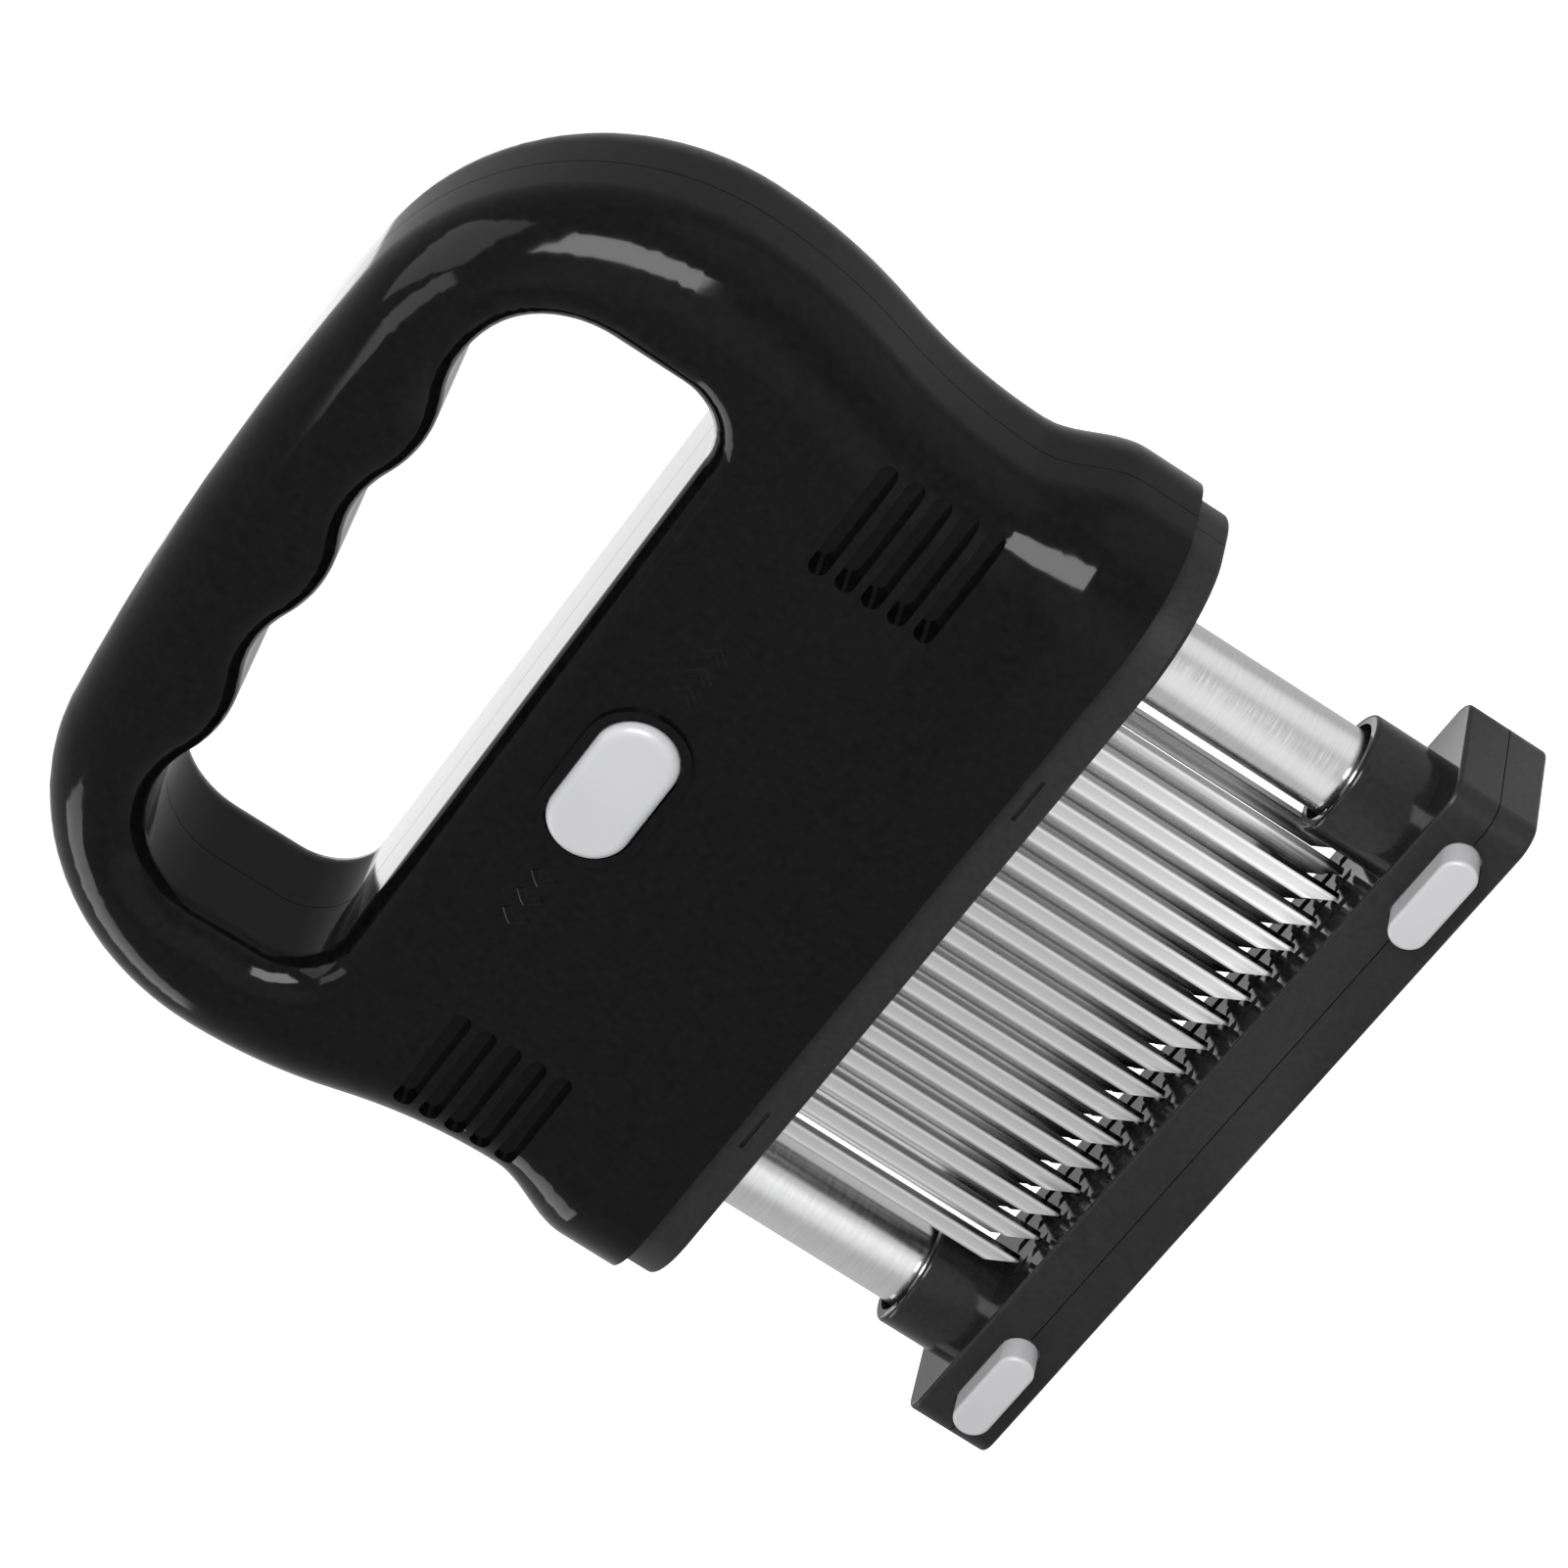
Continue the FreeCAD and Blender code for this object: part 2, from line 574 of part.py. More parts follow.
def spring_turns(side):
    """Points on the coil and the directions in which the wire runs there, a quarter turn apart."""
    low = SEAT_TOP + SPRING_END_GAP + SPRING_WIRE
    high = WELL_TOP - SPRING_END_GAP - SPRING_WIRE
    pitch = (high - low) / SPRING_TURNS
    turns = []
    for quarter in range(4 * SPRING_TURNS + 1):
        angle = math.pi / 2 * quarter
        out = Vector(math.cos(angle), math.sin(angle), 0)
        along = Vector(-out.y, out.x, pitch / (2 * math.pi * SPRING_RADIUS)).normalize()
        turns.append((Vector(side * TUBE_X, 0, low + pitch * quarter / 4) + out * SPRING_RADIUS, along))
    return turns


def least_gap(turns):
    """Least clear distance between two windings."""
    gaps = []
    for i, (one, _) in enumerate(turns):
        for other, _ in turns[i + 3:]:
            gaps.append((other - one).Length - 2 * SPRING_WIRE)
    return min(gaps)


def wire_section(centre, along):
    """Six-sided section of the spring's wire, square to its run."""
    aside = along.cross(Vector(0, 0, 1)).normalize()
    upward = aside.cross(along)
    corners = []
    for corner in range(SPRING_SIDES + 1):
        angle = 2 * math.pi * (corner + 0.5) / SPRING_SIDES
        corners.append(centre + (aside * math.cos(angle) + upward * math.sin(angle)) * SPRING_WIRE)
    return Part.makePolygon(corners)


def spring(side):
    """Compression spring between the seat in the tube and the top of its well."""
    turns = spring_turns(side)
    print(f"least gap between windings {least_gap(turns):.2f} mm")
    path = []
    for (start, along), (end, onward) in zip(turns, turns[1:]):
        path += biarc(start, along, end, onward)
    return Part.Wire(path).makePipeShell([wire_section(*turns[0])], True, False)


def collar(side):
    """Cup on the foot round the tube, with a wide mouth and two notches in its rim."""
    x = side * TUBE_X
    body = rod(x, 0, FOOT_TOP, COLLAR_TOP, COLLAR_RADIUS)
    rim = edges_where(body, lambda c: c.z > COLLAR_TOP - 0.01)
    body = body.makeFillet(COLLAR_EDGE, rim)
    spigot = rod(x, 0, FOOT_TOP - COLLAR_SPIGOT, FOOT_TOP + 1, SPIGOT_RADIUS)
    body = body.fuse(spigot)
    mouth = rod(x, 0, COLLAR_TOP - COLLAR_MOUTH_DEPTH, COLLAR_TOP + 1, COLLAR_MOUTH)
    bore = rod(x, 0, 0, COLLAR_TOP + 1, TUBE_RADIUS + RUNNING_FIT)
    half = COLLAR_NOTCH / 2
    reach = COLLAR_RADIUS + 1
    notch = box(x - half, x + half, -reach, reach, COLLAR_TOP - COLLAR_NOTCH_DEPTH, COLLAR_TOP + 1)
    inner = rod(x, 0, COLLAR_TOP - 2, COLLAR_TOP + 2, COLLAR_RADIUS - COLLAR_EDGE)
    return body.cut([mouth, bore, notch.common(inner)]).removeSplitter()


def latch_button(side):
    """Oblong button in the foot's front, on a flange that keeps it in its pocket."""
    x = side * TUBE_X
    face = -FOOT_HALF_Y - LATCH_PROUD
    inner = -LATCH_INNER_Y
    cap = stadium(x, FOOT_SEAM, LATCH_LENGTH, LATCH_HEIGHT, face, inner)
    cap = cap.makeFillet(LATCH_EDGE, edges_where(cap, lambda c: c.y < face + 0.01))
    wide = LATCH_LENGTH + 2 * LATCH_FLANGE
    tall = LATCH_HEIGHT + 2 * LATCH_FLANGE
    flange = stadium(x, FOOT_SEAM, wide, tall, inner - LATCH_FLANGE_THICKNESS, inner)
    return cap.fuse(flange).removeSplitter()


def foot_screw_places():
    outer = (TUBE_X + TUBE_RADIUS + FOOT_HALF_X) / 2
    inner = TUBE_X - TUBE_RADIUS - FOOT_SCREW_HEAD - SLIDE_FIT
    return [(side * x, 0) for side in (-1, 1) for x in (inner, outer)]


def foot_plates():
    """Upper and lower half of the foot, with the blade slots and the latch pockets."""
    body = slab(FOOT_HALF_X, FOOT_HALF_Y, FOOT_CORNER, 0, FOOT_TOP)
    rims = edges_where(body, lambda c: c.z < 0.01 or c.z > FOOT_TOP - 0.01)
    body = body.makeFillet(FOOT_EDGE, rims)
    cuts = blade_holes(BLADE_SLOT_GAP, -1, FOOT_TOP + 1)
    for side in (-1, 1):
        x = side * TUBE_X
        cuts.append(rod(x, 0, TUBE_BOTTOM - SLIDE_FIT, FOOT_TOP + 1, TUBE_RADIUS + RUNNING_FIT))
        socket = FOOT_TOP - COLLAR_SPIGOT - RUNNING_FIT
        cuts.append(rod(x, 0, socket, FOOT_TOP + 1, SPIGOT_RADIUS + RUNNING_FIT))
        length = LATCH_LENGTH + 2 * LATCH_GAP
        height = LATCH_HEIGHT + 2 * LATCH_GAP
        inner = -LATCH_INNER_Y + LATCH_TRAVEL + LATCH_GAP
        cuts.append(stadium(x, FOOT_SEAM, length, height, -FOOT_HALF_Y - 1, inner))
        chamber = 2 * LATCH_FLANGE
        front = -LATCH_INNER_Y - LATCH_FLANGE_THICKNESS - RUNNING_FIT
        cuts.append(stadium(x, FOOT_SEAM, length + chamber, height + chamber, front, inner))
    for x, y in foot_screw_places():
        cuts.append(rod(x, y, -1, FOOT_SCREW_TIP + 2 * SCREW_FIT, FOOT_SCREW_RADIUS + SCREW_FIT / 2))
        cuts.append(rod(x, y, -1, FOOT_SCREW_SHOULDER, FOOT_SCREW_HEAD + SCREW_FIT))
    body = body.cut(cuts)
    gap = FOOT_SEAM_GAP / 2
    wide = 2 * FOOT_HALF_X
    upper = body.common(box(-wide, wide, -wide, wide, FOOT_SEAM + gap, FOOT_TOP + 1))
    lower = body.common(box(-wide, wide, -wide, wide, -1, FOOT_SEAM - gap))
    return upper, lower


def foot_screws():
    """Four slotted screws that join the plates from below."""
    screws = []
    for x, y in foot_screw_places():
        shank = rod(x, y, FOOT_SCREW_BOTTOM, FOOT_SCREW_TIP, FOOT_SCREW_RADIUS)
        head = rod(x, y, FOOT_SCREW_BOTTOM, FOOT_SCREW_SHOULDER, FOOT_SCREW_HEAD)
        half = FOOT_SCREW_SLOT / 2
        slot = box(x - FOOT_SCREW_HEAD, x + FOOT_SCREW_HEAD, y - half, y + half, 0, FOOT_SCREW_BOTTOM + half)
        screws.append(shank.fuse(head).cut(slot).removeSplitter())
    return Part.makeCompound(screws)


def save(name, shape):
    """Write one node and print its solids, volume and height range."""
    bounds = shape.BoundBox
    facets = len(shape.tessellate(0.1)[1])
    print(f"{name}: {len(shape.Solids)} solid(s), {shape.Volume:.0f} mm3, {facets} facets,"
          f" valid {shape.isValid()}, z {bounds.ZMin:.1f} to {bounds.ZMax:.1f}")
    shape.exportStep(f"parts/{name}.step")


def main():
    os.makedirs("parts", exist_ok=True)
    front, back = handle_shells()
    save("front_shell", front)
    save("back_shell", back)
    button = release_button()
    save("release_button_front", button)
    save("release_button_back", at_back(button))
    save("shell_screws", screws_along_y())
    skirt_front, skirt_back = cartridge_halves()
    save("cartridge_front", skirt_front)
    save("cartridge_back", skirt_back)
    save("blade_holder", blade_holder())
    save("blade_clamp_plate", clamp_plate())
    for row, name in ((-1, "front"), (0, "middle"), (1, "back")):
        save(f"blade_row_{name}", blade_row(row))
    for side, name in ((-1, "left"), (1, "right")):
        save(f"{name}_guide_bush", bush(side))
        save(f"{name}_guide_tube", guide_tube(side))
        save(f"{name}_spring_seat", spring_seat(side))
        save(f"{name}_stop_ring", stop_ring(side))
        save(f"{name}_spring", spring(side))
        save(f"{name}_collar", collar(side))
        save(f"{name}_latch_button", latch_button(side))
    upper, lower = foot_plates()
    save("foot_upper_plate", upper)
    save("foot_lower_plate", lower)
    save("foot_screws", foot_screws())


main()
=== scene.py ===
# %% [markdown]
# This lesson dresses a hand press with 48 blades: a D-shaped handle, a cartridge of blades, two
# guide tubes and a foot. The pieces could be modelled again here, but a imported frame holds them
# already, so the first step only loads it.

# %% Start: load the imported tool
import json

import bpy
import numpy as np
from mathutils import Matrix, Vector


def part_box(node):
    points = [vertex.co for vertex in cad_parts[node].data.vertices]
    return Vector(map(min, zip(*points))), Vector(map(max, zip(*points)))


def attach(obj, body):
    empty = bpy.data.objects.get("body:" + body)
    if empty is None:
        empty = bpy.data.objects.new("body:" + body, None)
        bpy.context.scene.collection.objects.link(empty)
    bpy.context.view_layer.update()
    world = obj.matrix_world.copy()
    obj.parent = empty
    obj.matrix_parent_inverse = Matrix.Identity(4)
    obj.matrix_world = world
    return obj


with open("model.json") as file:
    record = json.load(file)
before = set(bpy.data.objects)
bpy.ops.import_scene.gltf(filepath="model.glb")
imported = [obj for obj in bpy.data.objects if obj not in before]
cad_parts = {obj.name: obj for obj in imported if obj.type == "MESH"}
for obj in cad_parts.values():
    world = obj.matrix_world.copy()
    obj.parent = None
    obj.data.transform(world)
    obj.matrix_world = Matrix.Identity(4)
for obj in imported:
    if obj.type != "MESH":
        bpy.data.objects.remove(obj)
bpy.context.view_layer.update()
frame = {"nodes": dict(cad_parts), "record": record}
MM = 0.001

# %% [markdown]
# The tool arrives as a finished frame in metres: every moulded, drawn and punched piece is
# already in its place. What is left is to make them look like what they are: polished black
# plastic, satin black plastic, brushed tube and bright strip steel. The facets of a packed
# mesh would show in a polished surface, so the first step is shading, not colour.

# %% Smooth shading without touching the meshes
SHARP_ANGLE = np.radians(28.0)
WELD_DISTANCE = 2.0e-6
FACE_WEIGHT = 100


def angle_smoother():
    """Geometry nodes: merge loose triangles, shade all faces smooth, keep edges over an angle sharp."""
    tree = bpy.data.node_groups.new("smooth_by_angle", "GeometryNodeTree")
    tree.interface.new_socket("Geometry", in_out="INPUT", socket_type="NodeSocketGeometry")
    tree.interface.new_socket("Geometry", in_out="OUTPUT", socket_type="NodeSocketGeometry")
    add = tree.nodes.new
    start, end = add("NodeGroupInput"), add("NodeGroupOutput")
    merge = add("GeometryNodeMergeByDistance")
    merge.inputs["Distance"].default_value = WELD_DISTANCE
    faces = add("GeometryNodeSetShadeSmooth")
    faces.domain = "FACE"
    edges = add("GeometryNodeSetShadeSmooth")
    edges.domain = "EDGE"
    edges.inputs["Shade Smooth"].default_value = False
    angle = add("GeometryNodeInputMeshEdgeAngle")
    sharp = add("FunctionNodeCompare")
    sharp.operation = "GREATER_THAN"
    sharp.inputs[1].default_value = SHARP_ANGLE
    link = tree.links.new
    link(start.outputs[0], merge.inputs["Geometry"])
    link(merge.outputs[0], faces.inputs["Geometry"])
    link(faces.outputs[0], edges.inputs["Geometry"])
    link(angle.outputs["Unsigned Angle"], sharp.inputs[0])
    link(sharp.outputs[0], edges.inputs["Selection"])
    link(edges.outputs[0], end.inputs[0])
    return tree


smoother = angle_smoother()
for node in frame["nodes"].values():
    rounded = node.modifiers.new("smooth", "NODES")
    rounded.node_group = smoother
    weighted = node.modifiers.new("weighted", "WEIGHTED_NORMAL")
    weighted.keep_sharp = True
    weighted.weight = FACE_WEIGHT
print("smooth shading on", len(frame["nodes"]), "nodes")

# %% [markdown]
# A finish is a Principled shader whose roughness and bump come from noise on the object's own
# coordinates. The patterns are written in marks per metre, so a grain of a third of a
# millimetre is a noise scale of about 3000. One helper builds the shader, and small helpers
# add a pattern to its roughness, its colour or its bump. The same nodes could be wired by hand
# for each finish, but then ten materials would repeat them.

# %% Helpers for finishes
PATTERN_MIDDLE = (0.3, 0.7)
RAMP_MIDDLE = (0.35, 0.65)


class Finish:
    """One material under construction, with its Principled shader at hand."""

    def __init__(self, name, colour, roughness, metallic=0.0, specular=0.5):
        self.material = bpy.data.materials.new(name)
        self.material.use_nodes = True
        self.nodes = self.material.node_tree.nodes
        self.links = self.material.node_tree.links
        self.shader = self.nodes["Principled BSDF"]
        self.shader.inputs["Base Color"].default_value = (*colour, 1.0)
        self.shader.inputs["Roughness"].default_value = roughness
        self.shader.inputs["Metallic"].default_value = metallic
        self.shader.inputs["Specular IOR Level"].default_value = specular
        self.place = self.nodes.new("ShaderNodeTexCoord").outputs["Object"]

    def noise(self, scale, detail=3.0, stretch=(1.0, 1.0, 1.0)):
        """Noise on Object coordinates, stretched along an axis by a small factor there."""
        mapping = self.nodes.new("ShaderNodeMapping")
        mapping.inputs["Scale"].default_value = stretch
        texture = self.nodes.new("ShaderNodeTexNoise")
        texture.inputs["Scale"].default_value = scale
        texture.inputs["Detail"].default_value = detail
        self.links.new(self.place, mapping.inputs["Vector"])
        self.links.new(mapping.outputs["Vector"], texture.inputs["Vector"])
        return texture.outputs["Fac"]

    def spread(self, value, low, high, start=PATTERN_MIDDLE[0], end=PATTERN_MIDDLE[1]):
        """Maps a pattern from start..end to low..high."""
        node = self.nodes.new("ShaderNodeMapRange")
        node.inputs["From Min"].default_value = start
        node.inputs["From Max"].default_value = end
        node.inputs["To Min"].default_value = low
        node.inputs["To Max"].default_value = high
        self.links.new(value, node.inputs["Value"])
        return node.outputs["Result"]

    def math(self, operation, first, second=None, third=None):
        """One Math node; each of its values is a number or another node's output."""
        node = self.nodes.new("ShaderNodeMath")
        node.operation = operation
        for value, socket in zip((first, second, third), node.inputs):
            if isinstance(value, float):
                socket.default_value = value
            elif value is not None:
                self.links.new(value, socket)
        return node.outputs[0]

    def roughness(self, value, low, high):
        """Roughness that follows a pattern from low to high."""
        self.links.new(self.spread(value, low, high), self.shader.inputs["Roughness"])
        return self

    def colour(self, value, dark, light):
        """Colour that follows a pattern from dark to light."""
        ramp = self.nodes.new("ShaderNodeValToRGB")
        ramp.color_ramp.elements[0].position = RAMP_MIDDLE[0]
        ramp.color_ramp.elements[0].color = (*dark, 1.0)
        ramp.color_ramp.elements[1].position = RAMP_MIDDLE[1]
        ramp.color_ramp.elements[1].color = (*light, 1.0)
        self.links.new(value, ramp.inputs["Fac"])
        self.links.new(ramp.outputs["Color"], self.shader.inputs["Base Color"])
        return self

    def bump(self, value, strength, depth):
        """Bump of a given depth in metres; a second call lies on top of the first."""
        node = self.nodes.new("ShaderNodeBump")
        node.inputs["Strength"].default_value = strength
        node.inputs["Distance"].default_value = depth
        self.links.new(value, node.inputs["Height"])
        before = self.shader.inputs["Normal"].links
        if before:
            self.links.new(before[0].from_socket, node.inputs["Normal"])
        self.links.new(node.outputs["Normal"], self.shader.inputs["Normal"])
        return self


# %% [markdown]
# The handle is moulded in polished black plastic. Seen face on it is almost black, and it only
# lights up where it is seen at a low angle, so its specular level is kept below the usual one.
# Its polish is worn by the hand: the roughness drifts in patches, which softens the edges of
# the reflected lamps, and a very fine grain breaks them up.

# %% Finish: polished black plastic
GLOSS_COLOUR = (0.0015, 0.0015, 0.0016)
GLOSS_DARK = (0.0012, 0.0012, 0.0013)
GLOSS_LIGHT = (0.0022, 0.0022, 0.0023)
GLOSS_ROUGHNESS = 0.1
GLOSS_WORN = (0.08, 0.12)
GLOSS_SPECULAR = 0.11
GLOSS_MOTTLE = 900.0
GLOSS_PATCHES = 60.0
GLOSS_GRAIN = 2600.0


def gloss_black():
    """Polished plastic of the handle, worn in patches."""
    finish = Finish("gloss_black", GLOSS_COLOUR, GLOSS_ROUGHNESS, specular=GLOSS_SPECULAR)
    finish.colour(finish.noise(GLOSS_MOTTLE), GLOSS_DARK, GLOSS_LIGHT)
    finish.roughness(finish.noise(GLOSS_PATCHES, 5.0), *GLOSS_WORN)
    finish.bump(finish.noise(GLOSS_GRAIN, 2.0), 0.02, 0.00001)
    return finish.material


# %% [markdown]
# The skirt of the cartridge and the sides of the foot have a satin face, with the fine spark
# grain of the mould. The top of the foot is left polished by the same mould, and the blades
# are mirrored in it. One material holds both: the roughness follows the surface's direction,
# low where it faces up.

# %% Finish: satin black plastic
SATIN_COLOUR = (0.007, 0.007, 0.0072)
SATIN_DARK = (0.006, 0.006, 0.0062)
SATIN_LIGHT = (0.0085, 0.0085, 0.0088)
SATIN_ROUGHNESS = 0.38
SATIN_SPECULAR = 0.2
SATIN_MOTTLE = 1500.0
SPARK_GRAIN = 4200.0
GRAIN_SHARES = (0.85, 1.15)
FACES_UP = (0.8, 0.95)
TOP_ROUGHNESS = 0.06


def satin_black(name, polished_top, rough=SATIN_ROUGHNESS):
    """Satin plastic with a spark grain; a polished top is smooth where the surface faces up."""
    finish = Finish(name, SATIN_COLOUR, rough, specular=SATIN_SPECULAR)
    finish.colour(finish.noise(SATIN_MOTTLE), SATIN_DARK, SATIN_LIGHT)
    grain = finish.noise(SPARK_GRAIN, 2.0)
    face = finish.spread(grain, GRAIN_SHARES[0] * rough, GRAIN_SHARES[1] * rough)
    if polished_top:
        geometry = finish.nodes.new("ShaderNodeNewGeometry")
        split = finish.nodes.new("ShaderNodeSeparateXYZ")
        finish.links.new(geometry.outputs["Normal"], split.inputs["Vector"])
        up = finish.spread(split.outputs["Z"], 0.0, 1.0, *FACES_UP)
        mix = finish.nodes.new("ShaderNodeMix")
        finish.links.new(up, mix.inputs["Factor"])
        finish.links.new(face, mix.inputs["A"])
        mix.inputs["B"].default_value = TOP_ROUGHNESS
        face = mix.outputs["Result"]
    finish.links.new(face, finish.shader.inputs["Roughness"])
    finish.bump(grain, 0.12, 0.00004)
    return finish.material


# %% [markdown]
# The four buttons are light grey satin plastic. The grey is written much darker than it looks
# in the photograph, because the lamps are bright on it.

# %% Finish: light grey plastic
GREY_COLOUR = (0.235, 0.235, 0.24)
GREY_DARK = (0.23, 0.23, 0.235)
GREY_LIGHT = (0.245, 0.245, 0.25)
GREY_ROUGHNESS = (0.3, 0.35)


def light_grey():
    """Satin plastic of the buttons, nearly even in colour."""
    finish = Finish("light_grey", GREY_COLOUR, 0.32, specular=0.4)
    finish.colour(finish.noise(60.0, 1.0), GREY_DARK, GREY_LIGHT)
    finish.roughness(finish.noise(200.0), *GREY_ROUGHNESS)
    finish.bump(finish.noise(3000.0, 1.0), 0.01, 0.000005)
    return finish.material


# %% [markdown]
# The tubes are stainless steel, brushed round and round, so their grain is noise that is long
# round the tube and very short along it. On a level cut of the tube the noise hardly changes:
# that is what a small factor on X and Y gives. One function makes every steel of the tool, from
# its colour, its roughness and the way its grain is stretched.

# %% Finish: brushed steel
TUBE_STEEL = (0.66, 0.66, 0.665)
SPRING_STEEL = (0.5, 0.5, 0.51)
SCREW_STEEL = (0.52, 0.52, 0.53)
ROUND_THE_TUBE = (0.06, 0.06, 1.0)
NO_STRETCH = (1.0, 1.0, 1.0)
LINE_DARK, LINE_LIGHT = 0.96, 1.03
LINE_SMOOTH, LINE_ROUGH = 0.85, 1.2


def steel(name, colour, rough, stretch, scale, depth):
    """Bare steel whose lines change its colour, its roughness and its bump together."""
    finish = Finish(name, colour, rough, metallic=1.0)
    lines = finish.noise(scale, 4.0, stretch)
    dark = tuple(LINE_DARK * c for c in colour)
    light = tuple(min(1.0, LINE_LIGHT * c) for c in colour)
    finish.colour(lines, dark, light)
    finish.roughness(lines, rough * LINE_SMOOTH, rough * LINE_ROUGH)
    finish.bump(lines, 0.12, depth)
    return finish


# %% [markdown]
# The blades are rolled strip, so their lines run along the blade. On the real ones the rolled
# edges curve away a little and catch the light, which gives each blade two light lines and
# darker rims. The solids are flat, so these lines are painted highlights and painted dark rims in
# the colour, at places that are shares of the blade pitch. The ground ends mirror the black foot,
# and the rows behind the front one lie in its shade: this painted reflection and painted shade are
# written into the colour too, as streaks that fade with height, lighter on the front row.

# %% Finish: blade steel
BLADE_STEEL = (0.97, 0.97, 0.975)
ALONG_THE_BLADE = (1.0, 1.0, 0.03)
STREAK_STRETCH = (1.0, 1.0, 0.08)
BLADE_PITCH = 4.1 * MM
HALF_COLUMNS = 8.0
# Painted highlights: two light lines and darker rims across each blade, painted into the colour.
PAINTED_EDGE_LIGHT_BANDS = {0.0: 0.5, 0.23: 0.5, 0.31: 1.0, 0.4: 0.8, 0.62: 0.7, 0.71: 1.0, 0.77: 0.45}
# Painted reflection of the black foot and painted shade between the rows: the length of the streaks,
# their darkest share, the heights where they fade, and how much lighter the front row is painted.
STREAK_LENGTH = 12.0 * MM
FOOT_REFLECTION_AND_SHADE_DARK = 0.04
GROUND_LOW = 18.0 * MM
GROUND_HIGH = 29.0 * MM
FRONT_FACE_Y = -5.3 * MM
FRONT_ROW_PAINTED_LIGHT = 9.0 * MM


def painted_edge_light_bands(finish, across):
    """Painted highlight lines and painted darker rims across a blade, by the share of the pitch that has
    been crossed.
    """
    bands = finish.nodes.new("ShaderNodeValToRGB")
    for place in list(PAINTED_EDGE_LIGHT_BANDS)[2:]:
        bands.color_ramp.elements.new(place)
    for stop, place in zip(bands.color_ramp.elements, sorted(PAINTED_EDGE_LIGHT_BANDS)):
        stop.position = place
        stop.color = (PAINTED_EDGE_LIGHT_BANDS[place],) * 3 + (1.0,)
    finish.links.new(across, bands.inputs["Fac"])
    return bands.outputs["Color"]


def blade_steel():
    """Rolled strip whose ground end has a painted reflection of the foot and painted shade in streaks,
    least on the foremost faces, which are painted lighter.
    """
    finish = steel("blade_steel", BLADE_STEEL, 0.15, ALONG_THE_BLADE, 6000.0, 0.000006)
    split = finish.nodes.new("ShaderNodeSeparateXYZ")
    finish.links.new(finish.place, split.inputs["Vector"])
    streaks = finish.noise(1400.0, 2.0, STREAK_STRETCH)
    # The front row's faces are painted lighter; the rows behind keep the painted shade higher up.
    foremost = finish.math("LESS_THAN", split.outputs["Y"], FRONT_FACE_Y)
    lit = finish.math("MULTIPLY_ADD", foremost, FRONT_ROW_PAINTED_LIGHT, split.outputs["Z"])
    height = finish.math("MULTIPLY_ADD", streaks, STREAK_LENGTH, lit)
    shade = finish.spread(height, FOOT_REFLECTION_AND_SHADE_DARK, 1.0, GROUND_LOW, GROUND_HIGH)
    column = finish.math("MULTIPLY_ADD", split.outputs["X"], 1.0 / BLADE_PITCH, HALF_COLUMNS)
    across = finish.math("FRACT", column)
    banded = finish.math("MULTIPLY", shade, painted_edge_light_bands(finish, across))
    darker = finish.nodes.new("ShaderNodeMix")
    darker.data_type = "RGBA"
    darker.blend_type = "MULTIPLY"
    darker.inputs["Factor"].default_value = 1.0
    plain = finish.shader.inputs["Base Color"].links[0].from_socket
    finish.links.new(plain, darker.inputs[6])
    finish.links.new(banded, darker.inputs[7])
    finish.links.new(darker.outputs[2], finish.shader.inputs["Base Color"])
    return finish


# %% [markdown]
# The frame's record names a finish for each node, so a dictionary from that name to a material
# dresses the whole tool in one loop. The collars are a smoother kind of the satin plastic, the
# blade holder is that plastic without its polished top, and the bushes take the plastic of the
# buttons. Each material could be set by hand in the editor, but a new pack would lose that.

# %% Hand the finishes to the nodes
COLLAR_ROUGHNESS = 0.16
finishes = {
    "gloss_black": gloss_black(),
    "satin_black": satin_black("satin_black", True),
    "collar_black": satin_black("collar_black", True, COLLAR_ROUGHNESS),
    "light_grey": light_grey(),
    "holder_grey": satin_black("holder_grey", False),
    "bush_white": light_grey(),
    "stainless": steel("stainless", TUBE_STEEL, 0.22, ROUND_THE_TUBE, 5200.0, 0.000008).material,
    "blade_steel": blade_steel().material,
    "spring_steel": steel("spring_steel", SPRING_STEEL, 0.25, NO_STRETCH, 4000.0, 0.00001).material,
    "screw_steel": steel("screw_steel", SCREW_STEEL, 0.3, NO_STRETCH, 3000.0, 0.00001).material,
}
slots = {part["node"]: part["material_slot"] for part in frame["record"]["subparts"]}
for name, node in frame["nodes"].items():
    node.data.materials.clear()
    node.data.materials.append(finishes[slots[name]])
print("finishes:", len(finishes))

# %% [markdown]
# Three plain chevrons stand on each side of the release button and point away from it. They are
# this model's own marks. Each one is a low ridge: half an ellipse carried along a bent path. A
# curve with a bevel could make it too, but a grid of points stays a mesh from the start, and its
# height above the handle is a plain number.

# %% Helpers: a ridge along a path, and its mesh
RIDGE_WIDTH = 0.5 * MM
RIDGE_HEIGHT = 0.12 * MM
RIDGE_STEPS = 9


def ridge(path, normal):
    """Half an ellipse across, the path along: point = path + width*cos(t)*side + height*sin(t)*normal."""
    path = np.asarray(path, float)
    step = np.gradient(path, axis=0)
    side = np.cross(step, normal)
    side /= np.linalg.norm(side, axis=1, keepdims=True)
    turn = np.linspace(0.0, np.pi, RIDGE_STEPS)
    across = RIDGE_WIDTH * np.cos(turn)[None, :, None] * side[:, None, :]
    above = RIDGE_HEIGHT * np.sin(turn)[None, :, None] * np.asarray(normal, float)[None, None, :]
    return path[:, None, :] + across + above


